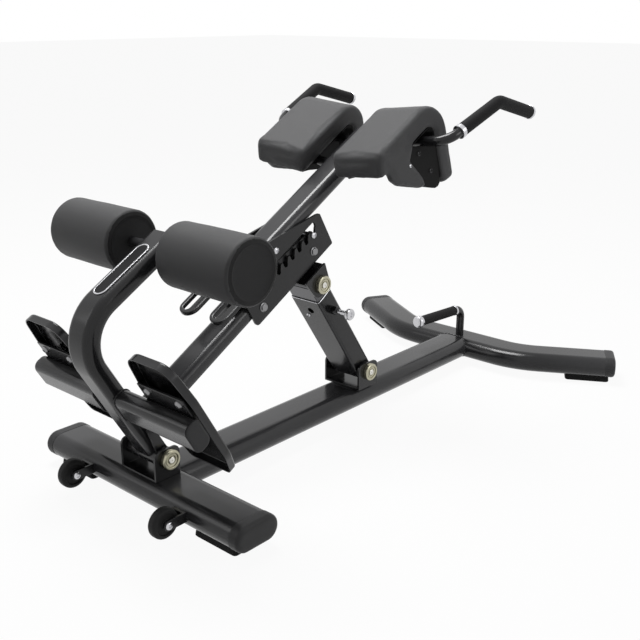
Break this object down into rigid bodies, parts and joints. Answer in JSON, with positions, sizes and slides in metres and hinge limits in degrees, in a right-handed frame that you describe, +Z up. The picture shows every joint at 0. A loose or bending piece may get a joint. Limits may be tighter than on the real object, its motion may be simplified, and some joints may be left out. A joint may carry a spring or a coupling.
{
  "type": "hyperextension bench",
  "caption": "Inclined back extension bench with sliding hip pads, ankle rollers, footplates and a telescopic prop on a two-footed base.",
  "frame": {"origin": "on the floor below the middle of the bounding box", "axes": "+Z up, +X from the ankle rollers towards the hip pads and the rear foot, +Y to the left"},
  "size_m": [1.632, 0.9854, 0.8759],
  "materials": {
    "painted_steel": "semi-gloss black powder coat",
    "rubber": "matte",
    "black_plastic": "matte",
    "vinyl": "matte upholstery vinyl over foam",
    "bright_aluminium": "polished",
    "zinc_steel": "yellow zinc",
    "bright_steel": "bright"
  },
  "bodies": {
    "base": {"base_beam": "painted_steel", "front_foot": "painted_steel", "rear_foot": "painted_steel", "front_cap_l": "black_plastic", "front_cap_r": "black_plastic", "rear_cap_l": "black_plastic", "rear_cap_r": "black_plastic", "front_rubber_l": "rubber", "front_rubber_r": "rubber", "rear_rubber_l": "rubber", "rear_rubber_r": "rubber", "wheel_fork_l": "painted_steel", "wheel_fork_r": "painted_steel", "wheel_bolt_l": "bright_steel", "wheel_bolt_r": "bright_steel", "front_clevis": "painted_steel", "prop_clevis": "painted_steel", "front_pivot_pin": "zinc_steel", "prop_pivot_pin": "zinc_steel", "carry_handle": "painted_steel", "carry_grip": "rubber", "carry_collar": "bright_aluminium", "carry_cap": "bright_aluminium"},
    "left_wheel": {"wheel_l": "rubber"},
    "right_wheel": {"wheel_r": "rubber"},
    "incline": {"roller_arm": "painted_steel", "incline_tube": "painted_steel", "foot_crossbar": "painted_steel", "pivot_barrel": "painted_steel", "footplate_l": "painted_steel", "footplate_r": "painted_steel", "rack_plate_l": "painted_steel", "rack_plate_r": "painted_steel", "rack_bolt_low": "bright_steel", "rack_bolt_high": "bright_steel", "slide_block": "black_plastic", "prop_bracket": "painted_steel", "prop_top_pin": "zinc_steel", "roller_axle": "painted_steel", "name_plate": "bright_aluminium"},
    "left_roller": {"roller_l": "vinyl"},
    "right_roller": {"roller_r": "vinyl"},
    "pad_slide": {"mast_tube": "painted_steel", "pad_rail": "painted_steel", "handle_bar": "painted_steel", "hip_pad_l": "vinyl", "hip_pad_r": "vinyl", "pad_shell_l": "black_plastic", "pad_shell_r": "black_plastic", "grip_collar_l": "bright_aluminium", "grip_collar_r": "bright_aluminium", "hand_grip_l": "rubber", "hand_grip_r": "rubber", "grip_cap_l": "bright_aluminium", "grip_cap_r": "bright_aluminium"},
    "catch": {"release_lever": "painted_steel", "catch_pin": "bright_steel"},
    "prop_outer": {"prop_tube": "painted_steel"},
    "prop_inner": {"prop_slider": "painted_steel"},
    "plunger": {"pull_pin": "bright_steel"}
  },
  "joints": [
    {"name": "left_wheel_spin", "type": "hinge", "parent": "base", "child": "left_wheel", "pos_m": [-0.7487, 0.1666, 0.0525], "axis": [0, 1, 0], "continuous": true},
    {"name": "right_wheel_spin", "type": "hinge", "parent": "base", "child": "right_wheel", "pos_m": [-0.7487, -0.1666, 0.0525], "axis": [0, 1, 0], "continuous": true},
    {"name": "incline_angle", "type": "hinge", "parent": "base", "child": "incline", "pos_m": [-0.6427, 0, 0.1265], "axis": [0, -1, 0], "range_deg": [0, 15]},
    {"name": "left_roller_spin", "type": "hinge", "parent": "incline", "child": "left_roller", "pos_m": [-0.59541, 0.08, 0.59259], "axis": [0, 1, 0], "continuous": true},
    {"name": "right_roller_spin", "type": "hinge", "parent": "incline", "child": "right_roller", "pos_m": [-0.59541, -0.08, 0.59259], "axis": [0, 1, 0], "continuous": true},
    {"name": "pad_travel", "type": "slide", "parent": "incline", "child": "pad_slide", "axis": [0.866, 0, 0.5], "range_m": [-0.171, 0]},
    {"name": "catch_lift", "type": "hinge", "parent": "pad_slide", "child": "catch", "pos_m": [-0.35846, 0, 0.44418], "axis": [0, -1, 0], "range_deg": [0, 4.9]},
    {"name": "prop_tilt", "type": "hinge", "parent": "base", "child": "prop_outer", "pos_m": [0.0673, 0, 0.1265], "axis": [0, -1, 0], "range_deg": [-0.5, 1.5]},
    {"name": "prop_extend", "type": "slide", "parent": "prop_outer", "child": "prop_inner", "axis": [-0.555, 0, 0.8319], "range_m": [-0.001, 0.15633]},
    {"name": "plunger_pull", "type": "slide", "parent": "prop_outer", "child": "plunger", "axis": [0, 1, 0], "range_m": [0, 0.011]}
  ],
  "couplings": [
    {"joint": "prop_tilt", "follows": "incline_angle", "ratio": 0.055},
    {"joint": "prop_extend", "follows": "incline_angle", "m_per_rad": 0.5895}
  ]
}
